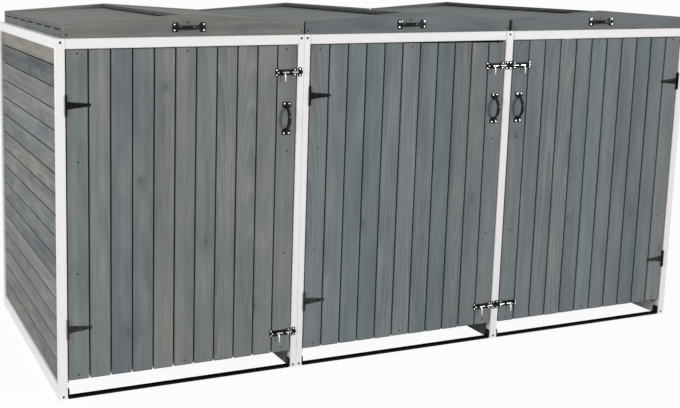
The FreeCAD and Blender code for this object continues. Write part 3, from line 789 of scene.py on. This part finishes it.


# Lids, from the left: how light the front board and the deck are, and their warmth
LID_TINTS = ((-0.6, -0.9, 0.85), (-0.9, -1.5, 0.3), (-0.9, -1.5, 0.35))


def lid_timber(bay):
    """Gable boards, side boards, rafter and the two halves of deck of a lid."""
    chance = np.random.default_rng(90 + bay)
    body = "lid_%d" % (bay + 1)
    finish = DOUBLE if bay else SINGLE
    left, right = LID_SPANS[bay]
    centre = (left + right) / 2
    inner = left + LID_BOARD
    climb = RIDGE_RISE / (centre - inner)
    front_light, deck_light, warm = LID_TINTS[bay]
    eaves, peak = LID_LOW + GABLE_EAVES, LID_LOW + GABLE_PEAK
    gable = [(left, LID_LOW), (right, LID_LOW), (right, eaves), (centre, peak), (left, eaves)]
    piece = Piece()
    for y in (1.0, DEPTH - LID_BOARD):
        sawn_shape(piece, gable, "y", y, LID_BOARD, chance.random(3), (front_light, warm, 0.25))
    # The side boards get a much darker tint than the rest of the lid: painted shade
    for x in (left, right - LID_BOARD):
        sawn_shape(piece, notched_side(), "x", x, LID_BOARD, chance.random(3), (-1.5, 0.0, 0.2), 0.5)
    a, b = centre - RAFTER_HALF, centre + RAFTER_HALF
    rafter = [(a, LID_LOW), (b, LID_LOW), (b, LID_SEAT + climb * (b - inner)),
              (a, LID_SEAT + climb * (a - inner))]
    sawn_shape(piece, rafter, "y", 1 + LID_BOARD, DEPTH - 1 - 2 * LID_BOARD, chance.random(3),
               tints(chance, warm))
    piece.finish(body + "_frame_timber", finish, body, [body + "_frame"])

    piece = Piece()
    start, lap, turn = centre - RIDGE_LAP, centre + RIDGE_LAP, right - LID_BOARD
    rising = ((left, inner, lap), (0.0, 0.0, climb * (lap - inner)))
    over = rising[1][2] + DECK_THICK + 0.2
    fall = over / (turn - lap)
    falling = ((start, turn, right), (over + fall * (lap - start), 0.0, 0.0))
    # The deck boards' ends are darkened two and 3.2 times as much as other ends: partly end grain
    # soaking up stain, partly painted shade on the outer ends and on the step at the ridge
    for a, b in deck_rows():
        light = deck_light + chance.normal(0.0, 0.18)
        for x0, x1, lift, ends in ((left, lap, rising, 2.0), (start, right, falling, 3.2)):
            tint = (light + chance.normal(0, 0.1), np.clip(chance.normal(warm, 0.1), 0, 1),
                    0.3 * chance.random())
            plank(piece, (x0, a, LID_SEAT), (x1, b, LID_SEAT + DECK_THICK), "x", chance.random(3), tint,
                  rise=lift, arris=1.0, ends=ends)
    piece.finish(body + "_deck_planking", finish, body, [body + "_deck"])


def thresholds():
    """Flat bar bent up at both ends: a rounded strip carried along the ground and up each tab.

    A quarter circle narrows the strip from both sides over the last 7 mm of each tab.
    """
    piece = Piece()
    bend, thick, deep, tab, corner = 4.0, 6.0, 22.0, 32.0, 7.0
    turn = np.linspace(math.pi / 2, 0, 5)
    foot = np.stack([bend * (1 - np.sin(turn)), bend * (1 - np.cos(turn))], -1) + thick / 2
    turn = np.linspace(math.pi / 2, 0, 6)
    rise = np.stack([np.full(6, thick / 2), tab - corner + corner * np.sin(turn)], -1)
    left = np.vstack([rise, foot])
    right = left[::-1] * (-1, 1) + (BAY, 0)
    across, up = np.vstack([left, right]).T
    narrow = np.concatenate([corner * (1 - np.cos(turn)), np.zeros(5)])
    narrow = np.concatenate([narrow, narrow[::-1]])
    strip = widened(eased_rectangle(deep, thick, 0.7), 1 - np.minimum(2 * narrow, deep - 1) / deep)
    for x in BAY_X:
        path = np.stack([x + across, np.full(len(up), 2.0 + deep / 2), up], -1)
        piece.add(swept(strip, path, (0, 1.0, 0)))
    piece.finish("threshold_bars", COAT, "frame", ["thresholds"], crease=50)


def strap_outline():
    """T-hinge strap about its length: it tapers from its root to a tip that is part of a circle."""
    root, tip = 12.5, 4.5
    centre = STRAP_LONG - tip
    taper = np.linspace(1.5, centre, 8)
    round_end = centre + tip * np.sin(np.linspace(0.25, math.pi / 2, 7))
    along = np.concatenate([taper, round_end])
    half = np.where(along <= centre, root + (tip - root) * (along / centre) ** 0.9,
                    np.sqrt(np.maximum(tip ** 2 - (along - centre) ** 2, 0)))
    half[-1] = 0.0
    return np.vstack([np.stack([along, -half], -1), np.stack([along, half], -1)[-2::-1]])


def hinge_straps(bay):
    """Moving halves of the T-hinges, each a tapered sheet and its middle knuckle. Gives the screws."""
    piece, screws = Piece(), Piece()
    back = HINGE_OUT + DOOR_FACE
    front = back - STRAP_THICK
    rings = sheet(strap_outline(), back, front, 0.5)
    for z, dust in HINGES:
        spot = (hinge_line(bay), -HINGE_OUT, z)
        wear = (0.0, 0.0, dust)
        piece.add(moved(rings, spot, SIDE[bay]), wear=wear)
        pin(piece, spot, (0, 0, -KNUCKLE), (0, 0, KNUCKLE), BARREL, ease=0.4, wear=wear)
        for u, v in ((17.16, 6.25), (17.16, -6.25), (46.8, 0.0), (70.2, 0.0)):
            screw(screws, moved((u, front - 0.1, v), spot, SIDE[bay]), *STRAP_SCREW)
    body = "door_%d" % (bay + 1)
    piece.finish(body + "_strap_plates", COAT, body, [body + "_hinge_straps"])
    return screws


def lid_hinge_spots(bay):
    """Middle of the pin of each of a lid's two butt hinges."""
    left, right = LID_SPANS[bay]
    return [(x, DEPTH + HINGE_BACK, RAIL_TOP + 0.2) for x in (left + BUTT_INSET, right - BUTT_INSET)]


def fixed_hinge_parts():
    """Fixed leaves of the T-hinges with their outer knuckles, and all the pins. Gives the screws."""
    leaves, pins, screws = Piece(), Piece(), Piece()
    face = -DOOR_GAP / 2
    front = face + LEAF_THICK
    half, notch, far = LEAF_HALF, 12.9, 23.3
    reach = half + PIN_PROUD
    outline = np.array([(0, -half), (far, -half), (far, half), (0, half), (0, notch), (4.0, notch),
                        (4.0, -notch), (0, -notch)])
    rings = sheet(outline, face, front, 0.3, lambda u, v, height: (height, u, v))
    for bay, side in enumerate(SIDE):
        for z, dust in HINGES:
            spot = (hinge_line(bay), -HINGE_OUT, z)
            wear = (0.0, 0.0, dust)
            leaves.add(moved(rings, spot, side), wear=wear)
            for low, high in ((-half, -notch), (notch, half)):
                pin(leaves, spot, (0, 0, low), (0, 0, high), BARREL, ease=0.4, wear=wear)
            pin(pins, spot, (0, 0, -reach), (0, 0, reach), HINGE_PIN, 12, 0.7, wear=wear)
            for v in (-22.0, 0.0, 22.0):
                screw(screws, moved((front, 16.0, v), spot, side), *LEAF_SCREW, outward=(side, 0, 0))
        lid_reach = BUTT_HALF + PIN_PROUD
        for spot in lid_hinge_spots(bay):
            pin(pins, spot, (-lid_reach, 0, 0), (lid_reach, 0, 0), HINGE_PIN, 12, 0.7)
    leaves.finish("post_hinge_leaves", COAT, "frame", ["door_hinge_leaves"])
    pins.finish("hinge_pin_rods", COAT, "frame", ["hinge_pins"])
    return screws


def butt_hinges(fixed, spots):
    """One half of the lids' butt hinges: leaves with their knuckles about the pin, and their screws.

    The fixed leaf hangs below its two outer knuckles, and the moving one stands over the middle one.
    """
    piece, screws = Piece(), Piece()
    back = -HINGE_BACK
    front = back + LEAF_THICK
    half, sign, middle, spans = BUTT_HALF, 1, 11.0, ((-11.0, 11.0),)
    if fixed:
        sign, middle, spans = -1, 11.4, ((-half, -11.4), (11.4, half))
    gap, far = 4.0 * sign, 20.0 * sign
    edge, cut = (0.0, gap) if fixed else (gap, 0.0)
    outline = np.array([(-half, edge), (-half, far), (half, far), (half, edge), (middle, edge),
                        (middle, cut), (-middle, cut), (-middle, edge)])
    rings = sheet(outline, back, front, 0.3)
    for spot in spots:
        piece.add(moved(rings, spot))
        for low, high in spans:
            pin(piece, spot, (low, 0, 0), (high, 0, 0), BARREL, ease=0.4)
        for u in (-20.0, 20.0):
            screw(screws, moved((u, front, 13.0 * sign), spot), *BUTT_SCREW, outward=(0, 1, 0))
    return piece, screws


def bolt_plate_outline():
    """Waisted base from the door's free edge at u 0: wide flanges at both ends, eased corners."""
    low, high = -76.5, -1.5
    u = np.array([low, low + 1.5, low + 10.5, low + 13.5, high - 13.5, high - 10.5, high - 1.5, high])
    half = np.array([11.0, 12.5, 12.5, 9.5, 9.5, 12.5, 12.5, 11.0])
    return mirrored(u, half)


def loop_path(out, middle, count, foot, x):
    """Middle line of a strip over a rod: a foot, a half circle about the rod, and the foot again."""
    turn = np.linspace(0, math.pi, count)
    bow = np.stack([-out - middle * np.sin(turn), middle * np.cos(turn)], -1)
    line = np.vstack([foot, bow, np.multiply(foot[::-1], (1, -1))])
    return np.insert(line, 0, x, axis=1)


def arch(low, high):
    """A pressed loop over the rod: a strip bent into a half circle with a straight leg each side.

    The strip is as wide as it is from low to high along X.
    """
    inner, outer, back = 3.5, 4.8, -0.6
    middle = (inner + outer) / 2
    path = loop_path(ROD_OUT, middle, 13, [(back, middle)], (low + high) / 2)
    return swept(eased_rectangle(high - low, outer - inner, 0.35), path, (1.0, 0, 0))


def bolt_lever():
    """The lever that hangs from a bolt's rod: a round bar with a domed end.

    It leaves the rod outwards and down at 45 degrees, and a quadratic curve turns it straight down.
    """
    slope, bend = math.radians(45), 7.0
    outward = np.array((0, -math.cos(slope), -math.sin(slope)))
    down = np.array((0, 0, -1.0))
    begin = np.array((-45.0, -ROD_OUT, 0))
    corner = begin + outward * 10
    first, last = corner - outward * bend, corner + down * bend
    t = np.linspace(0, 1, 8)[:, None]
    curve = (1 - t) ** 2 * first + 2 * t * (1 - t) * corner + t ** 2 * last
    tail = last + down * np.array([6.0, 13.0, 14.2, 14.8, 15.0])[:, None]
    path = np.vstack([begin, curve, tail])
    radii = np.concatenate([np.full(len(path) - 3, LEVER), [2.0, 1.2, 0.2]])
    return swept(circle(1.0, 14) * radii[:, None, None], path, (1.0, 0, 0))


def door_bolts(bay):
    """Bolt bases of a door, and the two sliding bolts. Gives the bases' screws."""
    side = SIDE[bay]
    body = "door_%d" % (bay + 1)
    bases, screws = Piece(), Piece()
    base = sheet(bolt_plate_outline(), 0.0, -PLATE_THICK, 0.4)
    for level, z in BOLT_Z:
        spot = (free_edge(bay), DOOR_FACE, z)
        for rings in (base, arch(-64.5, -52.5), arch(-28.1, -19.1)):
            bases.add(moved(rings, spot, side))
        for u, v in ((-71.5, -8.0), (-71.5, 8.0), (-6.5, -8.0), (-6.5, 8.0)):
            screw(screws, moved((u, -PLATE_THICK - 0.1, v), spot, side), *BRIGHT_SCREW)
        rod, lever = Piece(), Piece()
        pin(rod, spot, (-70.5 * side, -ROD_OUT, 0), (4.2 * side, -ROD_OUT, 0), ROD, 20, 0.9)
        lever.add(moved(bolt_lever(), spot, side))
        name = "%s_%s_bolt" % (body, level)
        slide = "%s_bolt_%d" % (level, bay + 1)
        rod.finish(name + "_rod", BOLT, slide, [name])
        lever.finish(name + "_lever", ZINC, slide, [name])
    bases.finish(body + "_bolt_plates", COAT, body, [body + "_bolt_bases"])
    return screws


def keepers():
    """Keepers on the posts: an arch over the rod with a rounded foot above and below."""
    piece, screws = Piece(), Piece()
    thick, middle, centre = 1.2, 4.5, 7.5
    foot = [(-0.6, 14.9), (-0.6, 14.0), (-0.6, 12.5), (-0.6, 6.2), (-0.8, 5.2), (-1.6, 4.6)]
    path = loop_path(ROD_OUT - DOOR_FACE, middle, 15, foot, centre)
    widths = np.full(len(path), 14.0)
    widths[[0, 1, -2, -1]] = (9.5, 12.5, 12.5, 9.5)
    rings = swept(widened(eased_rectangle(1.0, thick, 0.3), widths), path, (1.0, 0, 0))
    for bay, side in enumerate(SIDE):
        for _, z in BOLT_Z:
            spot = (free_edge(bay) + side * DOOR_GAP, 0.0, z)
            piece.add(moved(rings, spot, side))
            for v in (-9.8, 9.8):
                screw(screws, moved((centre, -thick - 0.1, v), spot, side), *BRIGHT_SCREW)
    piece.finish("bolt_keeper_loops", COAT, "frame", ["bolt_keepers"], crease=50)
    return screws


def pull_handle(body, screws, spot, upright):
    """Bow handle of a door or lid: an oval carried along a circle's arc between two fan-shaped pads.

    At share s of the half length the oval is grip + (neck - grip) * s^2 wide and thins by a
    quarter towards its ends. A pad's half width grows quickly and smoothly from the neck, and a
    quarter circle rounds each outer corner.
    """
    piece = Piece()
    half, rise, out, grip, neck = 39.0, 23.5, 25.0, 13.5, 11.0
    radius = (half * half + rise * rise) / (2 * rise)
    share = np.linspace(-1, 1, 25)
    angle = share * math.asin(half / radius)
    path = np.stack([radius * np.sin(angle), radius - out - radius * np.cos(angle), 0 * angle], -1)
    wide = grip + (neck - grip) * share ** 2
    thick = 6.4 * (1 - 0.25 * share ** 2)
    oval = circle(0.5, 20)[None] * np.stack([wide, thick], -1)[:, None]
    piece.add(moved(swept(oval, path, (0, 0, 1.0)), spot, 1, upright))
    pad_thick, straight, corner = 3.0, 13.0, 3.0
    s = np.concatenate([np.linspace(-7, 4, 9), np.linspace(4, straight, 4)[1:],
                        straight + corner * np.sin(np.linspace(0, math.pi / 2, 6)[1:])])
    spread = np.clip((s + 6) / 6, 0, 1)
    width = 6.0 + 9.0 * spread ** 2 * (3 - 2 * spread)
    past = np.maximum(s - straight, 0)
    width -= corner - np.sqrt(np.maximum(corner ** 2 - past ** 2, 0))
    rings = sheet(mirrored(half + s, width), 0.0, -pad_thick, 1.0)
    for end in (1, -1):
        piece.add(moved(rings * (end, 1, 1), spot, 1, upright))
        for v in (-9.0, 9.0):
            screw(screws, moved((end * (half + 10.0), -pad_thick, v), spot, 1, upright), *HANDLE_SCREW)
    piece.finish(body + "_pull", ENAMEL, body, [body + "_handle"])


def door_screws(bay, screws):
    """Wood screws through a door's boards into its ledges and braces: four rows of dark dots."""
    middle, brace = (DOOR_LOW + DOOR_TOP) / 2, 175
    rows = ((DOOR_TOP - 12, (0, 5, 10)), (middle + brace, (0, 10)), (DOOR_LOW + 17, (0, 5, 10)),
            (middle - brace, (0, 10)))
    chance = np.random.default_rng(110 + bay)
    for z, boards in rows:
        for i in boards:
            off = chance.normal(0, (2.5, 2.0))
            x = board_left(bay, i) + BOARD_WIDE / 2 + off[0]
            screw(screws, (x, DOOR_FACE - 0.1, z + off[1]), *WOOD_SCREW)


def lid_screws(bay, screws):
    """Screws of a lid's front board: one near each end and one above the handle."""
    left, right = LID_SPANS[bay]
    for x, z in ((left + 9, 11.0), ((left + right) / 2 - 4, 44.0), (right - 9, 11.0)):
        screw(screws, (x, 0.9, RAIL_TOP + z), *WOOD_SCREW)


def post_screws():
    """Countersunk screws of the front and rear posts."""
    piece = Piece()
    for _, x, wide, _, _ in WALLS:
        for z in (10.0, RAIL_TOP - 12):
            screw(piece, (x + wide / 2, 0.0, z), *POST_SCREW)
            screw(piece, (x + wide / 2, DEPTH, z), *POST_SCREW, outward=(0, 1, 0))
    piece.finish("post_screw_heads", SCREW, "frame", ["frame_screws"])


def build_store():
    """Every piece of the store, the frame's first and then each door's and lid's."""
    white_frame()
    wall_boarding()
    thresholds()
    post_screws()
    dark = fixed_hinge_parts()
    keepers().finish("keeper_screws", ZINC, "frame")
    for bay in range(3):
        door_timber(bay)
        lid_timber(bay)
        body, lid = "door_%d" % (bay + 1), "lid_%d" % (bay + 1)
        small = hinge_straps(bay)
        door_screws(bay, small)
        small.finish(body + "_wood_screws", SCREW, body)
        shiny = door_bolts(bay)
        x = free_edge(bay) - SIDE[bay] * BOARD_WIDE / 2
        pull_handle(body, shiny, (x, DOOR_FACE, HANDLE_Z), True)
        shiny.finish(body + "_bright_screws", ZINC, body)

        moving, small = butt_hinges(False, lid_hinge_spots(bay))
        moving.finish(lid + "_hinge_plates", COAT, lid, [lid + "_hinge_leaves"])
        lid_screws(bay, small)
        small.finish(lid + "_wood_screws", SCREW, lid)
        shiny = Piece()
        pull_handle(lid, shiny, (sum(LID_SPANS[bay]) / 2, 1.0, LID_HANDLE_Z), False)
        shiny.finish(lid + "_bright_screws", ZINC, lid)
    fixed, small = butt_hinges(True, [spot for bay in range(3) for spot in lid_hinge_spots(bay)])
    fixed.finish("rail_hinge_plates", COAT, "frame", ["lid_hinge_bases"])
    small.finish("rail_hinge_screws", SCREW, "frame")
    dark.finish("leaf_screws", SCREW, "frame")


build_store()


def pale_floor():
    """Wide white floor.

    What the camera and mirrors see is mostly its own white, so that it meets the background, and
    the rest is lit, so that it keeps the store's shadow. Deeper than 17 cm inside the store it is
    only lit, so that the joints between the boards read dark.
    """
    f = Finish("pale_floor")
    x, y, _ = f.parts(f.place())
    # 1 between the walls and behind the doors
    inside = f.math("ABSOLUTE", x).between(1.235, 1.205)
    inside *= y.between(-0.31, -0.295) * y.between(0.49, 0.47)
    lit = f.node("ShaderNodeBsdfDiffuse", None, {"Color": (0.92, 0.92, 0.92, 1)})
    glow = f.node("ShaderNodeEmission", None, {"Color": (1, 1, 1, 1), "Strength": 1.0})
    share = f.seen_directly() * 0.95 * (1.0 - inside)
    blend = f.node("ShaderNodeMixShader", None, {0: share, 1: lit, 2: glow})
    f.node("ShaderNodeOutputMaterial", None, {"Surface": blend})
    mesh = bpy.data.meshes.new("pale_floor")
    mesh.from_pydata([(-60, -60, 0), (60, -60, 0), (60, 60, 0), (-60, 60, 0)], [], [(0, 1, 2, 3)])
    mesh.materials.append(f.material)
    floor = shown("pale_floor", mesh)


def sky(level):
    """Even light from all round; the camera and mirrors see plain white."""
    world = bpy.data.worlds.new("studio")
    bpy.context.scene.world = world
    f = Finish("studio", world)
    wide = f.node("ShaderNodeBackground", None, {"Color": (1.0, 0.99, 0.99, 1), "Strength": level})
    seen = f.node("ShaderNodeBackground", None, {"Color": (1, 1, 1, 1), "Strength": 1.0})
    blend = f.node("ShaderNodeMixShader", None, {0: f.seen_directly(), 1: wide, 2: seen})
    f.node("ShaderNodeOutputWorld", None, {"Surface": blend})


def stand(thing, axes, place):
    """Puts a lamp or camera at a place, in metres, its own X, Y and Z along these axes."""
    made = shown(thing.name, thing)
    turn = Matrix(np.column_stack(axes).tolist()).to_4x4()
    turn.translation = place
    made.matrix_world = turn
    return made


def lamp_facing(name, kind, place, aim, settings):
    """Studio lamp at a place, turned to face a point."""
    lamp = bpy.data.lights.new(name, kind)
    for key, value in settings.items():
        setattr(lamp, key, value)
    away = np.subtract(place, aim)
    away /= np.linalg.norm(away)
    side = np.cross((0, 0, 1.0), away)
    side /= np.linalg.norm(side)
    stand(lamp, (side, np.cross(away, side), away), place)


def photo_camera():
    """Camera at the photo's place: it stands front left, a little above the lids, and looks down.

    Forward is (sin yaw, cos yaw, 0) tipped down by the pitch, and the roll turns the rest about it.
    """
    yaw, pitch, roll = 0.3545, 0.1509, 0.0081
    forward = np.array((math.sin(yaw), math.cos(yaw), 0.0))
    right = np.array((math.cos(yaw), -math.sin(yaw), 0.0))
    ahead = forward * math.cos(pitch) - (0.0, 0.0, math.sin(pitch))
    above = np.cross(right, ahead)
    across = right * math.cos(roll) + above * math.sin(roll)
    over = -right * math.sin(roll) + above * math.cos(roll)
    lens = bpy.data.cameras.new("photo_camera")
    lens.sensor_width = 36.0
    lens.lens = 52.303
    lens.shift_x = 0.237
    lens.shift_y = -0.125
    lens.clip_start = 0.05
    lens.clip_end = 300.0
    bpy.context.scene.camera = stand(lens, (across, over, -ahead), (-1.91040, -3.35816, 1.34907))


pale_floor()
sky(0.38)
lamp_facing("side_fill", "AREA", (-7.0, -2.4, 3.0), (-1.2, 0.0, 0.6),
            {"shape": "SQUARE", "size": 3.0, "energy": 225.0})
lamp_facing("front_key", "SUN", (6.6, -7.5, 1.9), (0.0, 0.0, 0.6),
            {"angle": math.radians(8.0), "energy": 1.45})
photo_camera()
bpy.context.scene.view_settings.view_transform = "Standard"
